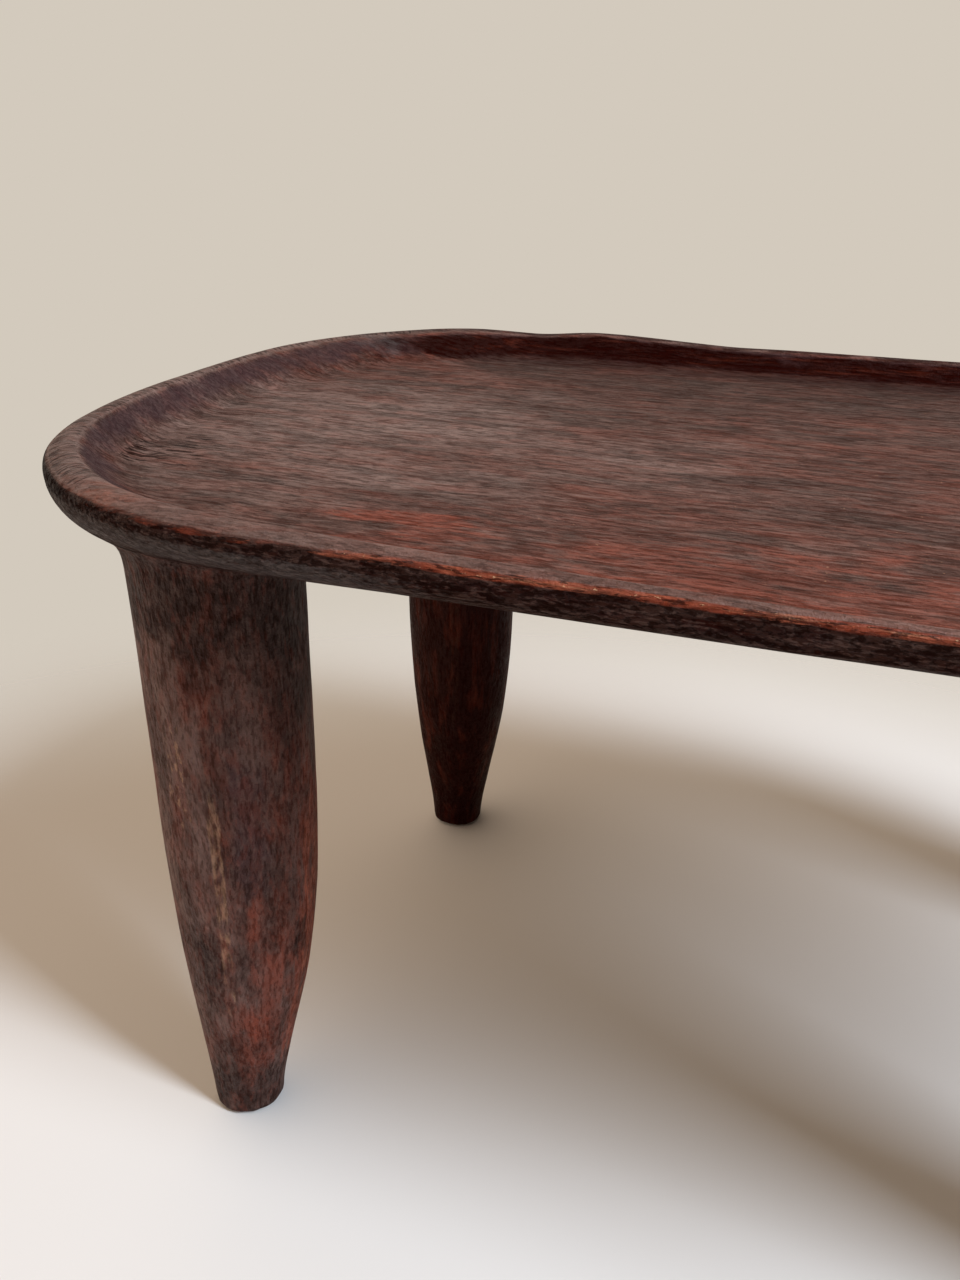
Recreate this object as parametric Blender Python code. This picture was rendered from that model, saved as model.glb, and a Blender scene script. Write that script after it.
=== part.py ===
"""Low carved table: an oval tray with a raised rim, on four legs whose stub tenons sit in blind mortises.

Metres, +Z up, +X along the tray, -Y to the front. The origin is on the ground under the middle of the tray.
"""

import math

import bmesh
import bpy
from mathutils import Vector

# Overall sizes of the tray and of the table
TRAY_LENGTH = 0.930
TRAY_WIDTH = 0.507
TABLE_HEIGHT = 0.420

# Outline of the tray's ends: how far the curve reaches along the tray, and how square each corner is.
# A squareness of 2 is an ellipse.
END_CURVE_LENGTH = 0.232
FRONT_CORNER_SQUARENESS = 2.4
REAR_CORNER_SQUARENESS = 3.1

# Section of the rim, from the outside in
RIM_RISE = 0.016
RIM_EDGE_ROUND = 0.006
RIM_CREST_WIDTH_AT_ENDS = 0.020
RIM_CREST_WIDTH_AT_SIDES = 0.010
RIM_INNER_RUN = 0.016
RIM_FACE_HEIGHT = 0.0125

# Underside: thickness of the floor, and the width and fullness of the curve from the rim down to it
FLOOR_THICKNESS_MIDDLE = 0.021
FLOOR_THICKNESS_ENDS = 0.028
UNDERCURVE_RUN_AT_ENDS = 0.027
UNDERCURVE_RUN_AT_SIDES = 0.095
UNDERCURVE_POWER_AT_ENDS = 1.6
UNDERCURVE_POWER_AT_SIDES = 1.5
THIN_SIDE_HALF_LENGTH = 0.120
THICK_END_LENGTH = 0.035

# Roots: the swellings under the tray that the legs stand under, carved in one with it
ROOT_HEIGHT = 0.004
ROOT_FLARE = 0.010
ROOT_COVER = 0.006

# Legs: where the feet stand, and how far the leg's middle moves inwards as it swells
FOOT_INSET_FROM_END = 0.133
FOOT_INSET_FROM_SIDE = 0.078
SWELL_SHIFT_ALONG = 0.0100
SWELL_SHIFT_ACROSS = 0.0075
FOOT_DIAMETER = 0.043
FOOT_EDGE_ROUND = 0.003
LEG_TOP_DIAMETER = 0.091
CALF_HEIGHT = 0.105
CALF_POWER = 1.6

# Joint between each leg and the tray
TENON_DIAMETER = 0.050
TENON_LENGTH = 0.020
TENON_CHAMFER = 0.002
FIT_GAP = 0.0003

# Fineness of the faceted surfaces
SIDE_STEPS = 12
END_STEPS = 28
UNDERCURVE_STEPS = 7
EDGE_ROUND_STEPS = 4
INNER_SLOPE_STEPS = 6
LEG_SEGMENTS = 24
LEG_STEPS = 12
ROOT_STEPS = 4

# Finish
WOOD_COLOUR = (0.060, 0.027, 0.020, 1.0)
WOOD_ROUGHNESS = 0.50

FLOOR_Z = TABLE_HEIGHT - RIM_RISE
SEAT_Z = FLOOR_Z - FLOOR_THICKNESS_ENDS - ROOT_HEIGHT
MIDDLE_LINE_HALF = TRAY_LENGTH / 2 - END_CURVE_LENGTH
LEG_NAMES = {
    (-1, -1): "leg_front_left",
    (1, -1): "leg_front_right",
    (-1, 1): "leg_rear_left",
    (1, 1): "leg_rear_right",
}


def blend(start, end, share):
    return start + (end - start) * share


def soft_step(value, low, high):
    """0 below low, 1 above high, and a smooth rise between them."""
    share = min(max((value - low) / (high - low), 0.0), 1.0)
    return share * share * (3 - 2 * share)


def foot_centre(side):
    """Middle of a foot on the ground. side is (-1 or 1 along X, -1 or 1 along Y)."""
    return Vector(
        (
            side[0] * (TRAY_LENGTH / 2 - FOOT_INSET_FROM_END),
            side[1] * (TRAY_WIDTH / 2 - FOOT_INSET_FROM_SIDE),
        )
    )


def swell(height):
    """How far the leg has filled out at this height: 0 at the foot, nearly 1 above the calf."""
    return 1 - math.exp(-((height / CALF_HEIGHT) ** CALF_POWER))


def leg_centre(side, height):
    inwards = Vector((-side[0] * SWELL_SHIFT_ALONG, -side[1] * SWELL_SHIFT_ACROSS))
    return foot_centre(side) + inwards * swell(height)


def leg_radius(height):
    return blend(FOOT_DIAMETER, LEG_TOP_DIAMETER, swell(height)) / 2


def end_reach(angle):
    """Distance from the end of the tray's middle line to its edge, at an angle from +X."""
    squareness = FRONT_CORNER_SQUARENESS if math.sin(angle) < 0 else REAR_CORNER_SQUARENESS
    along = abs(math.cos(angle)) / END_CURVE_LENGTH
    across = abs(math.sin(angle)) / (TRAY_WIDTH / 2)
    return (along**squareness + across**squareness) ** (-1 / squareness)


def tray_edge():
    """Points round the tray's edge from above, anticlockwise, each with its place on the middle line."""
    edge = []
    for i in range(SIDE_STEPS):
        x = blend(-MIDDLE_LINE_HALF, MIDDLE_LINE_HALF, i / SIDE_STEPS)
        edge.append((Vector((x, -TRAY_WIDTH / 2)), i))
    for i in range(END_STEPS):
        angle = math.pi * (i / END_STEPS - 0.5)
        ray = Vector((math.cos(angle), math.sin(angle)))
        edge.append((Vector((MIDDLE_LINE_HALF, 0)) + ray * end_reach(angle), SIDE_STEPS))
    for i in range(SIDE_STEPS):
        x = blend(MIDDLE_LINE_HALF, -MIDDLE_LINE_HALF, i / SIDE_STEPS)
        edge.append((Vector((x, TRAY_WIDTH / 2)), SIDE_STEPS - i))
    for i in range(END_STEPS):
        angle = math.pi * (i / END_STEPS + 0.5)
        ray = Vector((math.cos(angle), math.sin(angle)))
        edge.append((Vector((-MIDDLE_LINE_HALF, 0)) + ray * end_reach(angle), 0))
    return edge


def underside_z(middle_x):
    """Height of the underside on the tray's middle line: higher between the legs than at the ends."""
    share = soft_step(abs(middle_x), 0, MIDDLE_LINE_HALF)
    return FLOOR_Z - blend(FLOOR_THICKNESS_MIDDLE, FLOOR_THICKNESS_ENDS, share)


def tray_section(edge_x, middle_x):
    """(distance in from the edge, height) from the underside over the rim to the sunk floor."""
    thick = soft_step(abs(edge_x), THIN_SIDE_HALF_LENGTH, TRAY_LENGTH / 2 - THICK_END_LENGTH) ** 2
    run = blend(UNDERCURVE_RUN_AT_SIDES, UNDERCURVE_RUN_AT_ENDS, thick)
    power = blend(UNDERCURVE_POWER_AT_SIDES, UNDERCURVE_POWER_AT_ENDS, thick)
    crest = blend(RIM_CREST_WIDTH_AT_SIDES, RIM_CREST_WIDTH_AT_ENDS, thick)
    face_foot = TABLE_HEIGHT - RIM_FACE_HEIGHT
    section = []
    for i in range(UNDERCURVE_STEPS + 1):
        angle = math.pi / 2 * i / UNDERCURVE_STEPS
        inset = run * (1 - math.sin(angle) ** (2 / power))
        drop = (face_foot - underside_z(middle_x)) * math.cos(angle) ** (2 / power)
        section.append((inset, face_foot - drop))
    for i in range(EDGE_ROUND_STEPS + 1):
        angle = math.pi / 2 * i / EDGE_ROUND_STEPS
        inset = RIM_EDGE_ROUND * (1 - math.cos(angle))
        section.append((inset, TABLE_HEIGHT - RIM_EDGE_ROUND * (1 - math.sin(angle))))
    for i in range(INNER_SLOPE_STEPS + 1):
        share = i / INNER_SLOPE_STEPS
        drop = RIM_RISE * (1 - math.cos(math.pi * share)) / 2
        section.append((crest + RIM_INNER_RUN * share, TABLE_HEIGHT - drop))
    return section


def add_part(name, bm):
    """Turns a bmesh into a visible, smooth-shaded object with its own wood material."""
    bmesh.ops.recalc_face_normals(bm, faces=bm.faces)
    mesh = bpy.data.meshes.new(name)
    bm.to_mesh(mesh)
    bm.free()
    mesh.shade_smooth()
    mesh.set_sharp_from_angle(angle=math.radians(40))
    material = bpy.data.materials.new(name + "_wood")
    material.use_nodes = True
    shader = material.node_tree.nodes["Principled BSDF"]
    shader.inputs["Base Color"].default_value = WOOD_COLOUR
    shader.inputs["Roughness"].default_value = WOOD_ROUGHNESS
    shader.inputs["Metallic"].default_value = 0.0
    mesh.materials.append(material)
    obj = bpy.data.objects.new(name, mesh)
    bpy.context.scene.collection.objects.link(obj)
    return obj


def join_rings(bm, lower, upper):
    for i in range(len(lower)):
        j = (i + 1) % len(lower)
        bm.faces.new((lower[i], lower[j], upper[j], upper[i]))


def close_to_middle(bm, ring, edge, middle):
    """Fills between a ring of the tray and its middle line."""
    for i in range(len(ring)):
        j = (i + 1) % len(ring)
        corners = [ring[i], ring[j], middle[edge[j][1]]]
        if edge[i][1] != edge[j][1]:
            corners.append(middle[edge[i][1]])
        bm.faces.new(corners)


def make_tray():
    bm = bmesh.new()
    edge = tray_edge()
    middle_x = [blend(-MIDDLE_LINE_HALF, MIDDLE_LINE_HALF, i / SIDE_STEPS) for i in range(SIDE_STEPS + 1)]
    columns = []
    for point, place in edge:
        inwards = (Vector((middle_x[place], 0)) - point).normalized()
        column = []
        for inset, height in tray_section(point.x, middle_x[place]):
            at = point + inwards * inset
            column.append(bm.verts.new((at.x, at.y, height)))
        columns.append(column)
    rings = list(zip(*columns))
    for lower, upper in zip(rings, rings[1:]):
        join_rings(bm, lower, upper)
    close_to_middle(bm, rings[0], edge, [bm.verts.new((x, 0, underside_z(x))) for x in middle_x])
    close_to_middle(bm, rings[-1], edge, [bm.verts.new((x, 0, FLOOR_Z)) for x in middle_x])
    return add_part("tray_top", bm)


def round_body(levels, centres):
    """A closed body through round sections: levels are (height, radius), centres the middle of each."""
    bm = bmesh.new()
    rings = []
    for (height, radius), centre in zip(levels, centres):
        ring = []
        for i in range(LEG_SEGMENTS):
            angle = 2 * math.pi * i / LEG_SEGMENTS
            x = centre.x + radius * math.cos(angle)
            y = centre.y + radius * math.sin(angle)
            ring.append(bm.verts.new((x, y, height)))
        rings.append(ring)
    for lower, upper in zip(rings, rings[1:]):
        join_rings(bm, lower, upper)
    bm.faces.new(rings[0])
    bm.faces.new(rings[-1])
    return bm


def make_leg(side):
    """A leg from its flat foot to its shoulder under the tray's root, with the stub tenon on top."""
    shoulder_z = SEAT_Z - FIT_GAP
    levels = [(0.0, leg_radius(0.0) - FOOT_EDGE_ROUND)]
    for i in range(LEG_STEPS + 1):
        height = blend(FOOT_EDGE_ROUND, shoulder_z, i / LEG_STEPS)
        levels.append((height, leg_radius(height)))
    tenon_top = shoulder_z + TENON_LENGTH
    levels.append((shoulder_z, TENON_DIAMETER / 2))
    levels.append((tenon_top - TENON_CHAMFER, TENON_DIAMETER / 2))
    levels.append((tenon_top, TENON_DIAMETER / 2 - TENON_CHAMFER))
    centres = [leg_centre(side, min(height, shoulder_z)) for height, radius in levels]
    return add_part(LEG_NAMES[side], round_body(levels, centres))


def shape_tray(tray, name, operation, levels, centre):
    """Joins a round body to the tray, or cuts one from it."""
    bm = round_body(levels, [centre] * len(levels))
    bmesh.ops.recalc_face_normals(bm, faces=bm.faces)
    mesh = bpy.data.meshes.new(name)
    bm.to_mesh(mesh)
    bm.free()
    helper = bpy.data.objects.new(name, mesh)
    helper.hide_render = True
    helper.display_type = "WIRE"
    bpy.context.scene.collection.objects.link(helper)
    step = tray.modifiers.new(name, "BOOLEAN")
    step.operation = operation
    step.solver = "EXACT"
    step.object = helper


def add_root(tray, side):
    """The root over one leg, as wide as the leg at its seat and flaring into the tray above it."""
    top_z = FLOOR_Z - ROOT_COVER
    levels = []
    for i in range(ROOT_STEPS + 1):
        share = i / ROOT_STEPS
        levels.append((blend(SEAT_Z, top_z, share), leg_radius(SEAT_Z) + ROOT_FLARE * share**2))
    shape_tray(tray, "root_" + LEG_NAMES[side], "UNION", levels, leg_centre(side, SEAT_Z))


def cut_mortise(tray, side):
    """Blind round hole up through the root and into the tray, for one leg's tenon."""
    radius = TENON_DIAMETER / 2 + FIT_GAP
    levels = [(SEAT_Z - TENON_LENGTH, radius), (SEAT_Z + TENON_LENGTH, radius)]
    shape_tray(tray, "mortise_" + LEG_NAMES[side], "DIFFERENCE", levels, leg_centre(side, SEAT_Z))


def main():
    for obj in list(bpy.data.objects):
        bpy.data.objects.remove(obj)
    tray = make_tray()
    for side in LEG_NAMES:
        make_leg(side)
        add_root(tray, side)
        cut_mortise(tray, side)


main()
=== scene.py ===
"""Low carved hardwood table: the cut, worn and stained surface of its tray and legs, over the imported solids.

Metres, +Z up, +X along the tray, -Y to the front. The origin is on the ground under the middle of the tray.
"""

import math

import bpy
import numpy as np
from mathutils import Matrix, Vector, noise


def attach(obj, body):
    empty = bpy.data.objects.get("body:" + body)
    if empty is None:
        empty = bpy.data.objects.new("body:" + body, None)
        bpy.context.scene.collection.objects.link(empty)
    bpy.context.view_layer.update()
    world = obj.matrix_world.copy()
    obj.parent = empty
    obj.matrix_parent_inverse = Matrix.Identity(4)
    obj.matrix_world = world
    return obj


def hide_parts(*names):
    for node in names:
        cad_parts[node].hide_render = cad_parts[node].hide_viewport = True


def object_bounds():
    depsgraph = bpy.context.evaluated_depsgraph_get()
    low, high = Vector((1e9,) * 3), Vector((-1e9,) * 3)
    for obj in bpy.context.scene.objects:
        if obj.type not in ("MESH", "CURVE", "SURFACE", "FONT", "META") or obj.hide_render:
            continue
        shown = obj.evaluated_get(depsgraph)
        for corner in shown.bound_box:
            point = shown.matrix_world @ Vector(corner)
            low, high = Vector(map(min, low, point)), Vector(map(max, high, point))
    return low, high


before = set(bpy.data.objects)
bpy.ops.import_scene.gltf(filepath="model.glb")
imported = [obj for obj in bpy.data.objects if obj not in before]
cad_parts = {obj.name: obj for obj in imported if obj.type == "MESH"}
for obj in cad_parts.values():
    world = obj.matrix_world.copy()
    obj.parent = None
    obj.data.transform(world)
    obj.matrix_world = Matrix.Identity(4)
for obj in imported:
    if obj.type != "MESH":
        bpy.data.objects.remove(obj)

bl_info = {
    "name": "Low carved table",
    "version": (1, 0, 0),
    "blender": (4, 5, 0),
    "location": "3D View > Sidebar > Carved table",
    "description": "Carves and finishes a low hardwood tray table around its solids",
    "category": "Add Mesh",
}

CAD_LOW, CAD_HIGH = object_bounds()
MM = 0.001

# Sides of the table that the legs stand at: -1 or 1 along X, then along Y
LEGS = {
    "leg_front_left": (-1, -1),
    "leg_front_right": (1, -1),
    "leg_rear_left": (-1, 1),
    "leg_rear_right": (1, 1),
}

# Rings of the tray's mesh, from the middle of the underside over the rim to the middle of the floor
UNDERSIDE_RINGS = 10
UNDERCURVE_RINGS = 16
RIM_STEPS = 3
FLOOR_RINGS = 66
SIDE_STATIONS = 112
END_STATIONS = 204

# Template of the rim in mm, as (in from the edge, below the crest), from the foot of the outer face over the worn
# ridge and the crest and down the inner slope to the sunk floor
RIM_AT_ENDS = (
    (0.0, 12.5), (-0.2, 9.4), (0.5, 6.6), (2.2, 4.3), (5.4, 2.2), (9.6, 0.6), (13.8, 0.0),
    (17.2, 0.4), (20.2, 2.0), (25.2, 5.8), (32.0, 10.6), (40.0, 14.4), (48.0, 16.0),
)
RIM_AT_SIDES = (
    (0.0, 12.5), (-0.3, 9.0), (0.0, 4.4), (0.7, 2.4), (1.8, 1.2), (3.0, 0.4), (4.2, 0.0),
    (5.6, 0.4), (7.6, 2.2), (11.0, 6.8), (15.5, 11.8), (20.5, 14.9), (28.0, 16.0),
)
RIDGE, CREST_END, SLOPE_END = 3, 8, 11

FACE_HEIGHT = RIM_AT_SIDES[0][1] * MM
# Place on the template that the rings of the floor are given, well past its end
PAST_TEMPLATE = 99.0
# Rings of the undercurve in one step of the template
UNDER_RINGS_PER_STEP = 5

# Section of the tray, as in the solid: reach and roundness of the undercurve, and wood under the sunk floor
UNDERCURVE_AT_SIDES, UNDERCURVE_AT_ENDS = 0.095, 0.030
ROUNDNESS_AT_SIDES, ROUNDNESS_GAIN_AT_ENDS = 1.5, 0.1
FLOOR_THICKNESS, FLOOR_GAIN_AT_ENDS = 0.021, 0.007
# How far in from the edge the waver of the outline fades out
OUTLINE_FADE = 0.05

# The long flat of a leg faces inwards along the tray and outwards across it
FLAT_ALONG, FLAT_ACROSS = 0.69, 0.72

# How much a zone weighs against the noise in the mask of a finish, and how strong the fine part of that noise is
ZONE_PULL = 0.6
STREAK_ROUGHNESS = 0.62

# Stage: the floor's disc, which lies just below the feet and fades out away from the table, and the window lamp
FLOOR_RADIUS, FLOOR_CORNERS, FLOOR_DROP = 4.0, 96, 0.0004
FADE_MIDDLE, FADE_FROM, FADE_TO = (-0.1, -0.4, 0.0), 0.70, 1.20
WINDOW_WIDTH, WINDOW_HEIGHT, WINDOW_COLOUR = 1.0, 2.8, "#ebf4ff"
WINDOW_SIDE, WINDOW_DISTANCE, WINDOW_AIM = (0.696, -0.226, 0.682), 4.5, (0.0, 0.0, 0.3)

# Kinds of node that are used often, a smooth fade, and the mean of a noise colour
MATH, VECTOR, MAP_RANGE, NOISE = "ShaderNodeMath", "ShaderNodeVectorMath", "ShaderNodeMapRange", "ShaderNodeTexNoise"
COMBINE, SEPARATE = "ShaderNodeCombineXYZ", "ShaderNodeSeparateXYZ"
SMOOTH = {"interpolation_type": "SMOOTHSTEP"}
HALF = (0.5, 0.5, 0.5)


def linear(hex_colour):
    """Linear RGB of an sRGB colour written as #rrggbb."""
    channels = [int(hex_colour[i : i + 2], 16) / 255 for i in (1, 3, 5)]
    return tuple(c / 12.92 if c <= 0.04045 else ((c + 0.055) / 1.055) ** 2.4 for c in channels)


def number_of(name, description, default, unit="NONE"):
    """A number that a user may change."""
    return bpy.props.FloatProperty(name=name, description=description, default=default, unit=unit, precision=4)


def length_of(name, description, default):
    """A length in metres that a user may change."""
    return number_of(name, description, default, "LENGTH")


def colour_of(name, description, hex_colour):
    """A colour that a user may change."""
    return bpy.props.FloatVectorProperty(
        name=name, description=description, default=linear(hex_colour), subtype="COLOR", size=3, min=0, max=1
    )


class CarvedTraySizes(bpy.types.PropertyGroup):
    length: length_of("Length", "Tray from end to end", CAD_HIGH.x - CAD_LOW.x)
    width: length_of("Width", "Tray from front to rear", CAD_HIGH.y - CAD_LOW.y)
    height: length_of("Height", "Ground to the crest of the rim", CAD_HIGH.z)
    end_curve: length_of("End curve", "How far each rounded end reaches along the tray", 0.232)
    front_squareness: number_of("Front squareness", "Shape of the front corners: 2 is an ellipse", 2.4)
    rear_squareness: number_of("Rear squareness", "Shape of the rear corners: 2 is an ellipse", 3.1)
    rim_rise: length_of("Rim rise", "Crest of the rim above the sunk floor", 0.016)
    scoop_length: length_of("Scoop length", "Length of an adze scoop in the floor", 0.034)
    scoop_width: length_of("Scoop width", "Width of an adze scoop in the floor", 0.013)
    scoop_depth: length_of("Scoop depth", "Depth of an adze scoop in the floor", 0.0011)


class CarvedLegSizes(bpy.types.PropertyGroup):
    inset_from_end: length_of("Inset from end", "Tray's end to the middle of the foot", 0.134)
    inset_from_side: length_of("Inset from side", "Tray's side to the middle of the foot", 0.078)
    lean_along: length_of("Lean along", "How far the leg's middle moves inwards along the tray", 0.0095)
    rear_lean_along: length_of("Rear lean along", "The same for the rear legs", 0.0078)
    lean_across: length_of("Lean across", "How far the leg's middle moves inwards across the tray", 0.0075)
    foot_diameter: length_of("Foot diameter", "Width of the foot on the ground", 0.043)
    top_diameter: length_of("Top diameter", "Width of the leg under the tray", 0.091)
    rear_share: number_of("Rear share", "Girth of the rear legs as a share of the front legs", 0.97)
    calf_height: length_of("Calf height", "Height over which the leg fills out", 0.105)
    fillet: length_of("Fillet", "Hollow where the leg runs into the tray", 0.0045)
    facet_depth: length_of("Facet depth", "Depth of the long cuts that shaped the leg", 0.0016)
    flat_depth: length_of("Flat depth", "Depth of the long flat on the outer side of each leg", 0.003)


class CarvedFinish(bpy.types.PropertyGroup):
    heart: colour_of("Heartwood", "Main brown of the wood", "#583830")
    red: colour_of("Red stain", "Red-brown where the dark skin is rubbed thin", "#853e2c")
    dark: colour_of("Dark grain", "Pores, grain lines and cuts", "#1c0e0b")
    # Grey bloom, partly dust on handled wood and partly a painted sheen of light; also painted glints on the outer face
    dust_and_painted_sheen: colour_of("Dust film", "Greyish bloom on handled wood", "#836961")
    # Dark skin, also used as painted shade on the legs under the tray and on their upper inner side, and on the floor
    # along the walls
    soot_and_painted_shade: colour_of("Dark skin", "Smoked, oiled skin on the outer faces", "#311e19")
    # Dark red skin of the inner wall, also used as painted shade at the foot of the rear wall and over the rear legs
    wall: colour_of("Inner wall", "Oiled red skin on the inside of the rim", "#250603")
    # Painted shade: a purple-brown standing in for shade on the inner slopes at the ends and on one facet of each leg
    shade: colour_of("Shaded slope", "Purple-brown skin on the slope at the ends", "#422f31")
    # Painted reflection: a cool grey that stands in for light on the wood, put on the lower outer face near the legs
    # and as a painted highlight on the rear-left slope
    sheen: colour_of("Polished sheen", "Cool grey where the skin is polished by hands", "#67605f")
    bare: colour_of("Bare edge", "Orange wood bared along the worn edge", "#a25942")
    chip: colour_of("Fresh chip", "Pale wood in small chips", "#c79a78")


class CarvedStage(bpy.types.PropertyGroup):
    lens: number_of("Lens", "Focal length in mm", 32.36)
    eye: bpy.props.FloatVectorProperty(
        name="Eye", description="Place of the camera", default=(0.0166, -0.6426, 0.5789), unit="LENGTH"
    )
    turn: number_of("Turn", "Camera heading, to the left of +Y", 0.3796, "ROTATION")
    tilt: number_of("Tilt", "Camera tilt below level", 0.4274, "ROTATION")
    window_power: number_of("Window light", "Power of the soft key light", 282.0, "POWER")
    bright_side: bpy.props.FloatVectorProperty(
        name="Bright side", description="Side of the room that throws light back", default=(-0.97, 0.24, 0.0)
    )
    bright_level: number_of("Bright level", "Light from the bright side of the room", 1.6)
    dim_level: number_of("Dim level", "Light from the dim side of the room", 0.05)
    room: colour_of("Room", "Pale warm surroundings as the eye sees them", "#d3cabd")
    bounce: colour_of("Bounce", "Warm light that the surroundings throw back", "#dfc6ad")
    floor: colour_of("Floor", "Pale plain floor", "#e7e6e4")


def add_node(tree, kind, inputs=(), **settings):
    """Adds a node with its settings. inputs gives a value or a socket to link for each input."""
    node = tree.nodes.new(kind)
    for name, value in settings.items():
        setattr(node, name, value)
    for key, value in dict(inputs).items():
        if isinstance(value, bpy.types.NodeSocket):
            tree.links.new(value, node.inputs[key])
        else:
            node.inputs[key].default_value = value
    return node


def chain(tree, kind, value, *steps):
    """Sends a value through a row of nodes of one kind. Each step is an operation and the inputs after the first."""
    for operation, *others in steps:
        value = add_node(tree, kind, enumerate((value, *others)), operation=operation).outputs[0]
    return value


def soft_step(value, low, high):
    """0 below low, 1 above high, and a smooth rise between them."""
    share = np.clip((value - low) / (high - low), 0.0, 1.0)
    return share * share * (3 - 2 * share)


def hump(value, middle, half_width):
    """1 at the middle, falling smoothly to nearly 0 at twice the half width."""
    return np.exp(-(((value - middle) / half_width) ** 2))


def hand_wobble(points, size, seed):
    """Smooth noise from about -1 to 1 with lumps of the given size, one value for each point."""
    offset = Vector((seed * 7.31, seed * 3.17, seed * 5.93))
    return np.array([noise.noise(Vector(p) / size + offset) for p in points])


def edge_stations(tray):
    """Points round the tray's edge from above, anticlockwise, and the middle-line place of each."""
    middle_half = tray.length / 2 - tray.end_curve
    angles = np.linspace(-math.pi / 2, math.pi / 2, 4001)
    squareness = np.where(angles < 0, tray.front_squareness, tray.rear_squareness)
    along = np.abs(np.cos(angles)) / tray.end_curve
    across = np.abs(np.sin(angles)) / (tray.width / 2)
    reach = (along**squareness + across**squareness) ** (-1 / squareness)
    curve = np.stack([reach * np.cos(angles), reach * np.sin(angles)], 1)
    steps = np.concatenate([[0], np.cumsum(np.linalg.norm(np.diff(curve, axis=0), axis=1))])
    even = np.linspace(0, steps[-1], END_STATIONS + 1)[:-1]
    right = np.stack([np.interp(even, steps, curve[:, 0]), np.interp(even, steps, curve[:, 1])], 1)
    # The left end goes from the rear to the front, so its even steps are counted from the other side.
    back = steps[-1] - np.linspace(0, steps[-1], END_STATIONS + 1)[:-1]
    left = np.stack([-np.interp(back, steps, curve[:, 0]), np.interp(back, steps, curve[:, 1])], 1)
    places = np.arange(SIDE_STATIONS)
    x = middle_half * (2 * places / SIDE_STATIONS - 1)
    half = np.full(SIDE_STATIONS, tray.width / 2)
    edge = np.concatenate(
        [np.stack([x, -half], 1), right + [middle_half, 0], np.stack([-x, half], 1), left - [middle_half, 0]]
    )
    ends = np.ones(END_STATIONS, int)
    place = np.concatenate([places, ends * SIDE_STATIONS, SIDE_STATIONS - places, ends * 0])
    return edge, place, np.linspace(-middle_half, middle_half, SIDE_STATIONS + 1)


def rim_template(crest_shares, slope_shares):
    """(in from the edge, below the crest) in metres as (stations, rings), and each ring's place on the template.
    The shares give how far the crest and the slope of each station are towards the template of the ends."""
    sides, ends = np.array(RIM_AT_SIDES) * MM, np.array(RIM_AT_ENDS) * MM
    on_slope = soft_step(np.arange(len(sides)), CREST_END - 2, CREST_END + 2)
    shares = crest_shares[:, None] + (slope_shares - crest_shares)[:, None] * on_slope
    knots = sides + (ends - sides) * shares[:, :, None]
    knots = np.concatenate([2 * knots[:, :1] - knots[:, 1:2], knots, 2 * knots[:, -1:] - knots[:, -2:-1]], 1)
    # A smooth curve through the points of the template, with a few rings from each point to the next
    rings, where = [], []
    for i in range(1, len(RIM_AT_ENDS)):
        before, here, after, beyond = (knots[:, i + k] for k in (-1, 0, 1, 2))
        for step in range(1, RIM_STEPS + 1):
            u = step / RIM_STEPS
            bend = 2 * before - 5 * here + 4 * after - beyond
            twist = 3 * (here - after) + beyond - before
            rings.append((2 * here + (after - before) * u + bend * u**2 + twist * u**3) / 2)
            where.append(i - 1 + u)
    rings = np.stack(rings, 1)
    return rings[..., 0], rings[..., 1], np.array(where)


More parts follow.
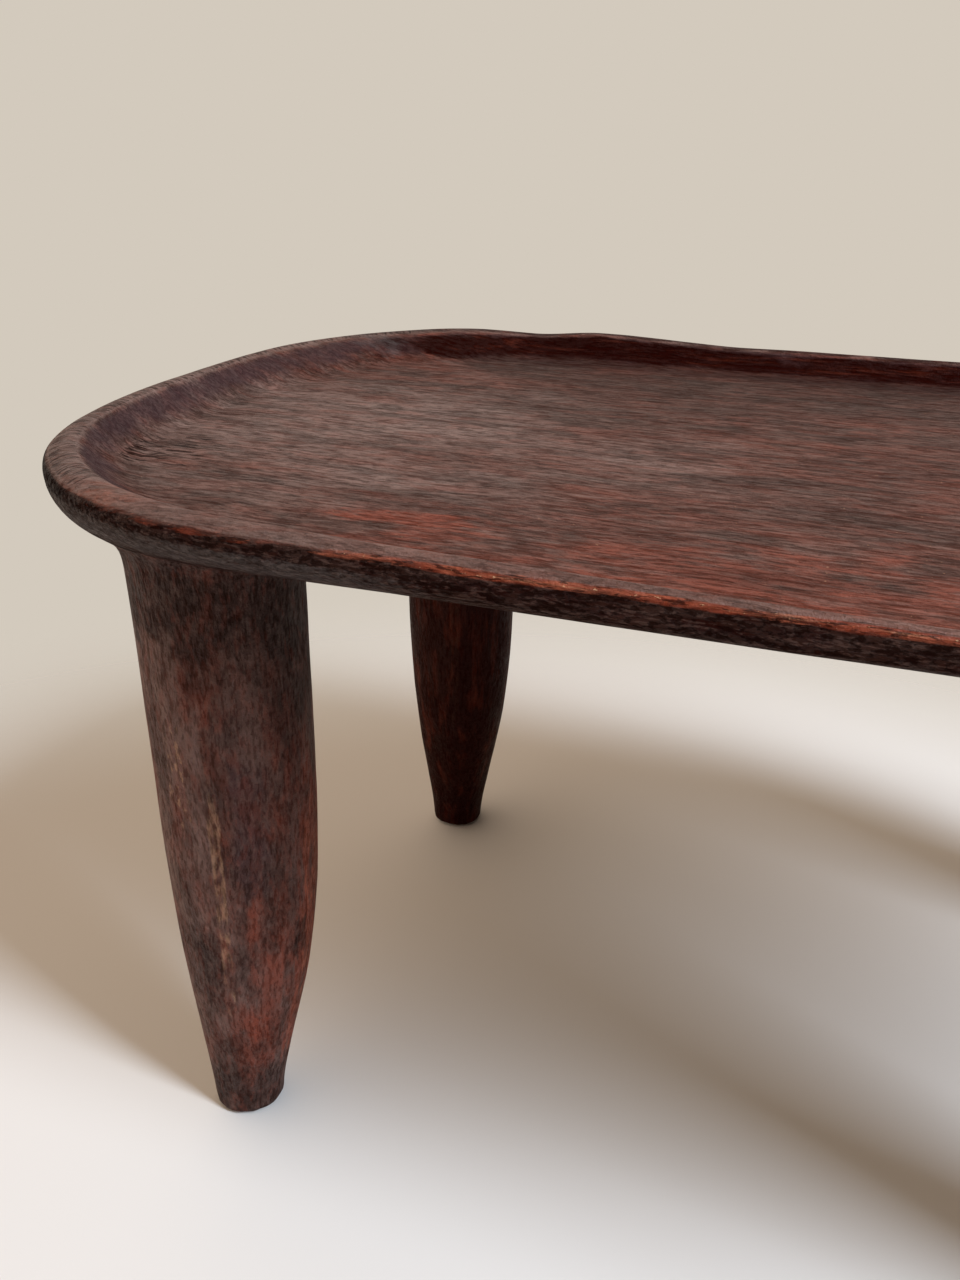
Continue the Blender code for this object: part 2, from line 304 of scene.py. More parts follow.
def tray_rings(tray):
    """Vertices of the tray as (stations, rings, 3), its middle lines, and what each vertex is a part of."""
    edge, place, middle_x = edge_stations(tray)
    count = len(edge)
    middle = np.stack([middle_x[place], np.zeros(count)], 1)
    to_middle = middle - edge
    depth = np.linalg.norm(to_middle, axis=1)
    inwards = to_middle / depth[:, None]
    x, y = edge[:, 0], edge[:, 1]
    front = soft_step(-y, -0.02, 0.10)

    # Section sizes along the rim, as in the solid
    thick = soft_step(np.abs(x), 0.120, tray.length / 2 - 0.035) ** 2
    run = UNDERCURVE_AT_SIDES + (UNDERCURVE_AT_ENDS - UNDERCURVE_AT_SIDES) * thick
    power = ROUNDNESS_AT_SIDES + ROUNDNESS_GAIN_AT_ENDS * thick
    floor_z = tray.height - tray.rim_rise
    under_z, middle_under_z = (
        floor_z - (FLOOR_THICKNESS + FLOOR_GAIN_AT_ENDS * soft_step(np.abs(at_x), 0, middle_x[-1]))
        for at_x in (middle[:, 0], middle_x)
    )

    # Unevenness of handwork: the crest rises and dips, and the outline wavers.
    at_edge = np.concatenate([edge, np.zeros((count, 1))], 1)
    crest_rise = 0.7 * MM * hand_wobble(at_edge, 0.110, 1) + 0.2 * MM * hand_wobble(at_edge, 0.050, 2)
    crest_rise -= front * 1.2 * MM * hump(x, 0.03, 0.22)
    rear_bumps = 2.4 * hump(x, -0.345, 0.05) + 4.1 * soft_step(x, -0.295, -0.235) * (1 - soft_step(x, -0.23, -0.12))
    crest_rise += (1 - front) * MM * rear_bumps
    crest_rise += 1.1 * MM * soft_step(-x, 0.36, 0.44) * (1 - soft_step(y, 0.05, 0.16))
    outline = 0.9 * MM * hand_wobble(at_edge, 0.090, 3) - 0.6 * MM
    outline += 2.0 * MM * soft_step(-x, 0.36, 0.43) * soft_step(y, -0.23, -0.15) * (1 - soft_step(y, 0.08, 0.18))
    lip_drop = front * MM * (0.8 + 2.2 * hump(x, -0.05, 0.10))
    face_foot = tray.height - FACE_HEIGHT - lip_drop

    inset, height = [], []
    for i in range(UNDERSIDE_RINGS):
        share = (i + 1) / (UNDERSIDE_RINGS + 1)
        inset.append(depth + (run - depth) * share)
        height.append(under_z)
    for i in range(UNDERCURVE_RINGS + 1):
        angle = math.pi / 2 * i / UNDERCURVE_RINGS
        inset.append(run * (1 - math.sin(angle) ** (2 / power)))
        height.append(face_foot - (face_foot - under_z) * max(math.cos(angle), 0.0) ** (2 / power))
    below = len(inset)
    towards_end, forward = soft_step(np.abs(x), 0.0, 0.42), soft_step(-y, -0.16, 0.0)
    in_corner = np.maximum(forward, 1.75 * soft_step(np.abs(x), 0.27, 0.38) * soft_step(y, 0.0, 0.12))
    rim_inset, rim_drop, rim_where = rim_template(
        towards_end * (0.35 + 0.65 * forward), towards_end * (0.35 + 0.65 * in_corner)
    )
    lifted = soft_step(rim_where, 0.5, 3.0) * (1 - soft_step(rim_where, CREST_END, SLOPE_END + 1))
    lowered = 1 - soft_step(rim_where, 0.0, 2.5)
    rim_height = tray.height - rim_drop + crest_rise[:, None] * lifted - lip_drop[:, None] * lowered
    foot = rim_inset[:, -1]
    shares = np.arange(1, FLOOR_RINGS) / FLOOR_RINGS
    floor_inset = foot[:, None] + (depth - foot)[:, None] * shares
    inset = np.concatenate([np.stack(inset, 1), rim_inset, floor_inset], 1)
    height = np.concatenate([np.stack(height, 1), rim_height, np.full_like(floor_inset, floor_z)], 1)
    under_where = (np.arange(below) - below + 1) / UNDER_RINGS_PER_STEP
    where = np.concatenate([under_where, rim_where, np.full(FLOOR_RINGS - 1, PAST_TEMPLATE)])

    steps = np.hypot(np.diff(inset, axis=1), np.diff(height, axis=1))
    girth = np.concatenate([np.zeros((count, 1)), np.cumsum(steps, 1)], 1)
    inset = inset - outline[:, None] * np.exp(-inset / OUTLINE_FADE)
    flat = edge[:, None] + inwards[:, None] * inset[:, :, None]
    points = np.concatenate([flat, height[:, :, None]], 2)
    steps = np.linalg.norm(np.roll(edge, -1, 0) - edge, axis=1)
    along_rim = np.concatenate([[0], np.cumsum(steps)[:-1]])
    worn = soft_step(where, RIDGE - 1.9, RIDGE - 0.8) * (1 - soft_step(where, RIDGE + 0.4, RIDGE + 1.4))
    worn = worn * (1 - 0.2 * soft_step(np.abs(x), 0.16, 0.25) - 0.8 * soft_step(np.abs(x), 0.32, 0.40))[:, None]
    rim_place = np.stack([np.tile(along_rim[:, None], (1, len(where))), girth, worn], 2)
    outer = 1 - soft_step(where, RIDGE - 0.6, RIDGE + 0.4)
    crest = soft_step(where, RIDGE - 0.3, RIDGE + 0.6) * (1 - soft_step(where, CREST_END - 1.0, CREST_END + 0.6))
    slope = soft_step(where, CREST_END - 0.8, CREST_END + 0.6) * (1 - soft_step(where, SLOPE_END - 0.8, SLOPE_END + 1))
    zones = np.stack([np.tile(zone, (count, 1)) for zone in (outer, crest, slope)], 2)
    # Zone of a painted sheen on the lower part of the outer face near the legs
    near_legs = soft_step(np.abs(x), 0.08, 0.22) * (1 - soft_step(np.abs(x), 0.38, 0.43))
    painted_lip_sheen = soft_step(where, -1.8, -0.6) * (1 - soft_step(where, 0.4, 1.4)) * near_legs[:, None]
    wrinkled = soft_step(np.abs(x), 0.31, 0.37)[:, None] * crest
    floor = np.tile(soft_step(where, SLOPE_END - 2, SLOPE_END), (count, 1))
    accents = np.stack([wrinkled, painted_lip_sheen, floor], 2)
    lines = [
        np.stack([middle_x, np.zeros_like(middle_x), z], 1)
        for z in (middle_under_z, np.full_like(middle_x, floor_z))
    ]
    return points, lines, place, zones, rim_place, accents


def tray_faces(stations, rings, place):
    """Faces of the tray, in corners of its vertex list: rings first, then both middle lines."""
    index = np.arange(stations * rings).reshape(stations, rings)
    after = np.roll(index, -1, 0)
    quads = np.stack([index[:, :-1], after[:, :-1], after[:, 1:], index[:, 1:]], 2).reshape(-1, 4).tolist()
    place_after = np.roll(place, -1)
    faces = [tuple(quad) for quad in quads]
    for ring, start, flip in ((0, stations * rings, True), (rings - 1, stations * rings + SIDE_STATIONS + 1, False)):
        for i in range(stations):
            corners = [index[i, ring], after[i, ring], start + place_after[i]]
            if place[i] != place_after[i]:
                corners.append(start + place[i])
            faces.append(tuple(int(c) for c in (corners[::-1] if flip else corners)))
    return faces


def tray_tones(points, floor):
    """Patches of tone on the tray, for each vertex: red rubbed wood, a grey bloom that is partly dust and partly a
    painted sheen, and adze marks; single small places, one of them a painted highlight; and the painted shade on the
    floor along its walls and the short deep cuts at its ends."""
    x, y = points[..., 0], points[..., 1]

    def patch(at_x, at_y, half_x, half_y):
        return np.exp(-(((x - at_x) / half_x) ** 4) - ((y - at_y) / half_y) ** 4)

    red = 0.75 * soft_step(-y, 0.07, 0.17) * soft_step(x, -0.30, -0.10) + 0.35 * soft_step(x, -0.10, 0.15)
    red += 0.6 * patch(-0.212, -0.188, 0.052, 0.026) + 0.5 * patch(-0.01, -0.19, 0.11, 0.03)
    red += 0.4 * patch(0.02, 0.205, 0.25, 0.022)
    dust_and_painted_sheen = hump(x, -0.33, 0.22) * hump(y, -0.02, 0.19) + 0.25 * hump(x, 0.0, 0.18) * hump(y, -0.03, 0.10)
    dust_and_painted_sheen += 0.6 * hump(x, 0.33, 0.15) * hump(y, 0.0, 0.18)
    marks = (0.40 + 0.60 * soft_step(np.abs(x), 0.10, 0.41)) * floor
    # Small single places: an orange rub on the crest, a painted highlight and a red smear on the inner slope, a fresh
    # red rub
    rub = patch(-0.342, -0.226, 0.034, 0.016)
    painted_slope_highlight = patch(-0.402, 0.186, 0.030, 0.022)
    smear = patch(-0.362, 0.205, 0.022, 0.022) + patch(-0.212, -0.168 + 0.14 * (x + 0.212), 0.052, 0.016)
    # Painted shade on the rear of the floor, in a strip that widens from the left end, and darkest at the foot of the
    # wall.
    # It also lies as a painted shadow against the front rim, whose inner foot curves back towards the ends.
    strip_at = 0.185 - 0.095 * soft_step(x, -0.36, -0.22)
    painted_floor_shade = soft_step(y, strip_at, strip_at + 0.03) * (1 - soft_step(x, 0.25, 0.38)) * floor
    rim_foot = 0.211 - 1.285 * np.maximum(np.abs(x) - 0.16, 0.0) ** 2
    painted_floor_shade += 0.65 * soft_step(-y, rim_foot - 0.024, rim_foot - 0.004) * soft_step(np.abs(x), 0.10, 0.20) * floor
    foot = soft_step(y, 0.195, 0.215) * floor
    cuts = hump(np.abs(x), 0.40, 0.07) * hump(y, -0.115, 0.08) * floor
    groups = ((red, dust_and_painted_sheen, marks), (rub, painted_slope_highlight, smear), (painted_floor_shade, foot, cuts))
    return [np.clip(np.stack(group, -1), 0.0, 1.0) for group in groups]


def put_attribute(mesh, name, values):
    """Stores three numbers for each vertex under one name."""
    attribute = mesh.attributes.new(name, "FLOAT_VECTOR", "POINT")
    attribute.data.foreach_set("vector", np.ascontiguousarray(values, np.float32).ravel())


def tray_blank(tray):
    """The tray's mesh before its tool marks, with the zones of the rim and the patches of tone on its vertices."""
    points, lines, place, zones, rim_place, accents = tray_rings(tray)
    stations, rings = points.shape[:2]
    vertices = np.concatenate([points.reshape(-1, 3), *lines])
    mesh = bpy.data.meshes.new("tray_blank")
    mesh.from_pydata(vertices.tolist(), [], tray_faces(stations, rings, place))
    under, over = len(lines[0]), len(lines[1])

    def to_all(values, at_underside, at_floor):
        return np.concatenate([values.reshape(-1, 3), np.tile(at_underside, (under, 1)), np.tile(at_floor, (over, 1))])

    accents = to_all(accents, (0, 0, 0), (0, 0, 1))
    put_attribute(mesh, "rim_zones", to_all(zones, (1, 0, 0), (0, 0, 0)))
    put_attribute(mesh, "rim_place", to_all(rim_place, (0, 0, 0), (0, tray.width, 0)))
    put_attribute(mesh, "accents", accents)
    for name, values in zip(("tones", "places", "soil"), tray_tones(vertices, accents[:, 2])):
        put_attribute(mesh, name, values)
    mesh.update()
    return mesh


def tree_inputs(tree, sockets):
    """Gives a node group its named inputs and one geometry output, and returns its input and output nodes."""
    for name, kind, default in sockets:
        socket = tree.interface.new_socket(name=name, in_out="INPUT", socket_type="NodeSocket" + kind)
        if default is not None:
            socket.default_value = default
    tree.interface.new_socket(name="Geometry", in_out="OUTPUT", socket_type="NodeSocketGeometry")
    return tree.nodes.new("NodeGroupInput").outputs, tree.nodes.new("NodeGroupOutput")


def end_tree(tree, geometry, wood, output):
    """Realizes what a tree made, shades it smooth and gives it its wood."""
    smooth = add_node(tree, "GeometryNodeSetShadeSmooth", {"Geometry": geometry})
    whole = add_node(tree, "GeometryNodeRealizeInstances", {"Geometry": smooth.outputs[0]})
    finished = add_node(tree, "GeometryNodeSetMaterial", {"Geometry": whole.outputs[0], "Material": wood})
    tree.links.new(finished.outputs[0], output.inputs[0])


def run_tree(obj, tree, values):
    """Runs a Geometry Nodes tree on an object and leaves its result as the object's plain mesh."""
    modifier = obj.modifiers.new(tree.name, "NODES")
    modifier.node_group = tree
    for item in tree.interface.items_tree:
        if item.in_out == "INPUT" and item.name in values:
            modifier[item.identifier] = values[item.name]
    evaluated = obj.evaluated_get(bpy.context.evaluated_depsgraph_get())
    mesh = bpy.data.meshes.new_from_object(evaluated)
    obj.modifiers.remove(modifier)
    mesh.name = obj.name
    obj.data = mesh
    if not mesh.polygons:
        raise RuntimeError(f"{tree.name} made no faces for {obj.name}")


def tray_marks_tree():
    """Adze scoops in the floor, cross cuts on the rim's crest and the slow wave of hand work, cut along the normals."""
    tree = bpy.data.node_groups.new("Tray tool marks", "GeometryNodeTree")
    given, output = tree_inputs(
        tree,
        (
            ("Geometry", "Geometry", None),
            ("Scoop size", "Vector", (0.034, 0.013, 0.013)),
            ("Scoop depth", "Float", 0.0011),
            ("Crest cut spacing", "Float", 0.009),
            ("Crest cut depth", "Float", 0.0005),
            ("Wave size", "Float", 0.075),
            ("Wave depth", "Float", 0.0008),
            ("Seed", "Float", 4.0),
            ("Wood", "Material", None),
        ),
    )
    place = add_node(tree, "GeometryNodeInputPosition").outputs[0]
    seeded = chain(tree, VECTOR, place, ("ADD", given["Seed"]))
    held = {}
    for name in ("tones", "rim_zones", "rim_place"):
        numbers = add_node(tree, "GeometryNodeInputNamedAttribute", {"Name": name}, data_type="FLOAT_VECTOR")
        held[name] = add_node(tree, SEPARATE, {0: numbers.outputs[0]}).outputs
    marks, crest, along = held["tones"]["Z"], held["rim_zones"]["Y"], held["rim_place"]["X"]

    waver = add_node(tree, NOISE, {"Vector": seeded, "Scale": 22.0, "Detail": 1.0}).outputs["Color"]
    bent = chain(tree, VECTOR, waver, ("SUBTRACT", HALF), ("MULTIPLY_ADD", (0.03, 0.02, 0.0), seeded))
    cells = chain(tree, VECTOR, bent, ("DIVIDE", given["Scoop size"]))
    bowls = add_node(tree, "ShaderNodeTexVoronoi", {"Vector": cells, "Scale": 1.0}).outputs["Distance"]
    scoop = chain(tree, MATH, bowls, ("POWER", 1.6), ("SUBTRACT", 0.35))
    scoop = chain(tree, MATH, scoop, ("MULTIPLY", given["Scoop depth"]), ("MULTIPLY", marks))

    turn = chain(tree, MATH, along, ("DIVIDE", given["Crest cut spacing"]))
    strip = add_node(tree, COMBINE, {0: turn, 1: given["Seed"]}).outputs[0]
    cut = add_node(tree, NOISE, {"Vector": strip, "Scale": 1.0, "Detail": 1.0}).outputs[0]
    cut = chain(tree, MATH, cut, ("SUBTRACT", 0.5), ("MULTIPLY", given["Crest cut depth"]))
    cut = chain(tree, MATH, cut, ("MULTIPLY", crest), ("MULTIPLY", marks))

    slow = chain(tree, VECTOR, seeded, ("DIVIDE", given["Wave size"]))
    wave = add_node(tree, NOISE, {"Vector": slow, "Scale": 1.0, "Detail": 2.0}).outputs[0]
    depth = chain(tree, MATH, wave, ("SUBTRACT", 0.5), ("MULTIPLY_ADD", given["Wave depth"], scoop), ("ADD", cut))
    offset = chain(tree, VECTOR, add_node(tree, "GeometryNodeInputNormal").outputs[0], ("MULTIPLY", depth))
    cut_tray = add_node(tree, "GeometryNodeSetPosition", {"Geometry": given["Geometry"], "Offset": offset})
    end_tree(tree, cut_tray.outputs[0], given["Wood"], output)
    return tree


def leg_tree():
    """A leg that swells from its foot, leans inwards, runs into the tray above it and shows its long cuts."""
    tree = bpy.data.node_groups.new("Leg carver", "GeometryNodeTree")
    given, output = tree_inputs(
        tree,
        (
            ("Geometry", "Geometry", None),
            ("Tray", "Object", None),
            ("Foot centre", "Vector", None),
            ("Lean", "Vector", None),
            ("Foot diameter", "Float", 0.043),
            ("Top diameter", "Float", 0.091),
            ("Calf height", "Float", 0.105),
            ("Calf power", "Float", 1.6),
            ("Fillet", "Float", 0.0045),
            ("Flare", "Float", 0.001),
            ("Foot round", "Float", 0.0035),
            ("Sink", "Float", 0.003),
            ("Facet depth", "Float", 0.0016),
            ("Flat side", "Vector", (0.69, -0.72, 0.0)),
            ("Flat depth", "Float", 0.003),
            ("Cut size", "Vector", (0.015, 0.015, 0.060)),
            ("Cut depth", "Float", 0.0007),
            ("Seed", "Float", 1.0),
            ("Wood", "Material", None),
        ),
    )
    blank = add_node(
        tree,
        "GeometryNodeMeshCylinder",
        {"Vertices": 96, "Side Segments": 150, "Fill Segments": 8, "Radius": 1.0, "Depth": 1.0},
        fill_type="TRIANGLE_FAN",
    )
    place = add_node(tree, "GeometryNodeInputPosition").outputs[0]
    part = add_node(tree, SEPARATE, {0: place}).outputs
    share = chain(tree, MATH, part["Z"], ("ADD", 0.5))
    facing = add_node(tree, COMBINE, {0: part["X"], 1: part["Y"]}).outputs[0]

    # Height of the tray's underside over each point of the leg's top
    flared = chain(tree, MATH, given["Top diameter"], ("MULTIPLY", 0.5), ("ADD", given["Fillet"]))
    spread = chain(tree, VECTOR, facing, ("MULTIPLY", flared))
    below = chain(tree, VECTOR, given["Foot centre"], ("ADD", given["Lean"]), ("ADD", spread), ("ADD", (0, 0, 0.25)))
    tray = add_node(tree, "GeometryNodeObjectInfo", {"Object": given["Tray"]}).outputs["Geometry"]
    up = {"Target Geometry": tray, "Source Position": below, "Ray Direction": (0, 0, 1), "Ray Length": 0.3}
    hit = add_node(tree, "GeometryNodeRaycast", up).outputs["Hit Position"]
    underside = add_node(tree, SEPARATE, {0: hit}).outputs["Z"]
    height = chain(tree, MATH, underside, ("ADD", given["Sink"]), ("MULTIPLY", share))

    # Swell of the calf: 0 at the foot, nearly 1 above the calf
    rise = chain(tree, MATH, height, ("DIVIDE", given["Calf height"]), ("POWER", given["Calf power"]))
    rise = chain(tree, MATH, rise, ("MULTIPLY", -1.0), ("EXPONENT",))
    swell = chain(tree, MATH, 1.0, ("SUBTRACT", rise))
    widths = {0: swell, 2: given["Foot diameter"], 3: given["Top diameter"]}
    girth = add_node(tree, "ShaderNodeMix", widths, data_type="FLOAT").outputs[0]
    radius = chain(tree, MATH, girth, ("MULTIPLY", 0.5))

    # Hollow fillet under the tray, and the rounded edge of the foot
    near = chain(tree, MATH, height, ("SUBTRACT", underside), ("DIVIDE", given["Fillet"]), ("EXPONENT",))
    radius = chain(tree, MATH, near, ("MULTIPLY_ADD", given["Fillet"], radius))
    low = {"Value": height, "From Min": 0.0, "From Max": given["Foot round"], "To Min": 1.0, "To Max": 0.0}
    low = add_node(tree, MAP_RANGE, low).outputs[0]
    low = chain(tree, MATH, low, ("POWER", 2.0), ("MULTIPLY", given["Foot round"]))
    radius = chain(tree, MATH, radius, ("SUBTRACT", low))

    # Slow flare towards the tray
    flare = {"Value": share, "From Min": 0.75, "From Max": 1.0, "To Max": given["Flare"]}
    radius = chain(tree, MATH, radius, ("ADD", add_node(tree, MAP_RANGE, flare, **SMOOTH).outputs[0]))

    # Long flats left by the adze, which make the section a soft, uneven polygon
    up_leg = chain(tree, MATH, share, ("MULTIPLY_ADD", 1.3, given["Seed"]))
    up_leg = add_node(tree, COMBINE, {2: up_leg}).outputs[0]
    flats_at = chain(tree, VECTOR, facing, ("MULTIPLY_ADD", (1.7, 1.7, 1.7), up_leg))
    flats = add_node(tree, NOISE, {"Vector": flats_at, "Scale": 1.0, "Detail": 1.5}).outputs[0]
    flats = chain(tree, MATH, flats, ("SUBTRACT", 0.5), ("MULTIPLY", 2.0))
    radius = chain(tree, MATH, flats, ("MULTIPLY_ADD", given["Facet depth"], radius))

    # One long flat on one side, from the calf to below the tray
    off = chain(tree, MATH, share, ("SUBTRACT", 0.5), ("ABSOLUTE",))
    deep = {"Value": off, "From Min": 0.18, "From Max": 0.40, "To Min": given["Flat depth"], "To Max": 0.0}
    deep = add_node(tree, MAP_RANGE, deep, **SMOOTH).outputs[0]
    towards = add_node(tree, VECTOR, {0: facing, 1: given["Flat side"]}, operation="DOT_PRODUCT").outputs["Value"]
    towards = chain(tree, MATH, towards, ("MAXIMUM", 0.2))
    plane = chain(tree, MATH, radius, ("SUBTRACT", deep), ("DIVIDE", towards))
    radius = chain(tree, MATH, radius, ("SMOOTH_MIN", plane, 0.0012))

    lean = chain(tree, VECTOR, given["Lean"], ("MULTIPLY", swell))
    out = chain(tree, VECTOR, facing, ("MULTIPLY", radius))
    lift = add_node(tree, COMBINE, {2: height}).outputs[0]
    at = chain(tree, VECTOR, given["Foot centre"], ("ADD", lean), ("ADD", out), ("ADD", lift))
    side = add_node(tree, COMBINE, {0: part["X"], 1: part["Y"], 2: share}).outputs[0]
    noted = {"Geometry": blank.outputs["Mesh"], "Name": "leg_side", "Value": side}
    noted = add_node(tree, "GeometryNodeStoreNamedAttribute", noted, data_type="FLOAT_VECTOR", domain="POINT")
    shaped = add_node(tree, "GeometryNodeSetPosition", {"Geometry": noted.outputs[0], "Position": at})

    # Cuts of the drawn blade, longer than they are wide, all over but for the ground face of the foot
    now = add_node(tree, "GeometryNodeInputPosition").outputs[0]
    cells = chain(tree, VECTOR, now, ("ADD", given["Seed"]), ("DIVIDE", given["Cut size"]))
    cuts = add_node(tree, "ShaderNodeTexVoronoi", {"Vector": cells, "Scale": 1.0}).outputs["Distance"]
    cuts = chain(tree, MATH, cuts, ("POWER", 1.6), ("SUBTRACT", 0.4), ("MULTIPLY", given["Cut depth"]))
    tall = add_node(tree, SEPARATE, {0: now}).outputs["Z"]
    clear = add_node(tree, MAP_RANGE, {"Value": tall, "From Min": 0.0005, "From Max": 0.004}).outputs[0]
    cuts = chain(tree, MATH, cuts, ("MULTIPLY", clear))
    offset = chain(tree, VECTOR, add_node(tree, "GeometryNodeInputNormal").outputs[0], ("MULTIPLY", cuts))
    cut_leg = add_node(tree, "GeometryNodeSetPosition", {"Geometry": shaped.outputs[0], "Offset": offset})
    end_tree(tree, cut_leg.outputs[0], given["Wood"], output)
    return tree


def start_wood(name):
    """A new material with one Principled shader, and its tree and object coordinates."""
    material = bpy.data.materials.new(name)
    material.use_nodes = True
    tree = material.node_tree
    shader = tree.nodes["Principled BSDF"]
    shader.inputs["IOR"].default_value = 1.5
    coords = add_node(tree, "ShaderNodeTexCoord").outputs["Object"]
    return material, tree, shader, coords


def streaks(tree, coords, size, detail, low, high, zone=None):
    """A mask of streaks of the given size in mm. It fades in between two noise levels, and thins out at the ragged
    border of its zone."""
    shift = [0.61 * len(tree.nodes), 0.37 * len(tree.nodes), 0.83 * len(tree.nodes)]
    scale = [1 / (MM * s) for s in size]
    at = add_node(tree, "ShaderNodeMapping", {"Vector": coords, "Location": shift, "Scale": scale}).outputs[0]
    level = {"Vector": at, "Scale": 1.0, "Detail": detail, "Roughness": STREAK_ROUGHNESS}
    level = add_node(tree, NOISE, level).outputs[0]
    if zone is not None:
        level = chain(tree, MATH, zone, ("MULTIPLY_ADD", ZONE_PULL, level))
        low, high = low + ZONE_PULL, high + ZONE_PULL
    return add_node(tree, MAP_RANGE, {"Value": level, "From Min": low, "From Max": high}, **SMOOTH).outputs[0]


def spot(tree, *spans):
    """A zone with soft borders. Each span is a value, its middle and its half width."""
    zone = 1.0
    for value, middle, half in spans:
        off = chain(tree, MATH, value, ("SUBTRACT", middle), ("ABSOLUTE",))
        near = add_node(tree, MAP_RANGE, {"Value": off, "From Min": 1.5 * half, "From Max": 0.5 * half}, **SMOOTH)
        zone = chain(tree, MATH, near.outputs[0], ("MULTIPLY", zone))
    return zone


def masks_of(tree, rows):
    """The mask of each row: the one that it holds, or streaks made from what it holds."""
    return [row[0] if len(row) == 1 else streaks(tree, *row) for row in rows]


def paint_layers(tree, shader, colour, layers):
    """Lays tones over one another. Each layer is a colour, how strong it is, and its mask or what streaks need."""
    masks = masks_of(tree, [layer[2:] for layer in layers])
    for (tone, amount, *_), mask in zip(layers, masks):
        share = chain(tree, MATH, mask, ("MULTIPLY", amount))
        below = colour if isinstance(colour, bpy.types.NodeSocket) else (*colour, 1)
        colour = add_node(tree, "ShaderNodeMix", {0: share, 7: (*tone, 1), 6: below}, data_type="RGBA").outputs[2]
    tree.links.new(colour, shader.inputs["Base Color"])


def grain_bump(tree, shader, ridges):
    """Relief of the grain. Each ridge is its height in mm, and its mask or what streaks need."""
    total = 0.0
    for (height, *_), mask in zip(ridges, masks_of(tree, [ridge[1:] for ridge in ridges])):
        total = chain(tree, MATH, mask, ("MULTIPLY_ADD", height, total))
    bump = add_node(tree, "ShaderNodeBump", {"Height": total, "Strength": 1.0, "Distance": MM})
    tree.links.new(bump.outputs[0], shader.inputs["Normal"])


def broken_gloss(tree, shader, gloss, losses):
    """Gloss broken up by pores and cuts, so that the fine grain glints. Each loss is a share and its mask."""
    for share, mask in losses:
        kept = chain(tree, MATH, mask, ("MULTIPLY_ADD", -share, 1.0))
        gloss = chain(tree, MATH, gloss, ("MULTIPLY", kept))
    tree.links.new(gloss, shader.inputs["Specular IOR Level"])


def wavering(tree, coords, size, reach):
    """Coordinates that drift a little, so that streaks along the grain aren't ruled straight."""
    drift = add_node(tree, NOISE, {"Vector": coords, "Scale": 1 / size, "Detail": 1.0}).outputs["Color"]
    return chain(tree, VECTOR, drift, ("SUBTRACT", HALF), ("MULTIPLY_ADD", reach, coords))


def stored(tree, name):
    """The three numbers that the vertices hold under a name."""
    vector = add_node(tree, "ShaderNodeAttribute", attribute_name=name).outputs["Vector"]
    return add_node(tree, SEPARATE, {0: vector}).outputs


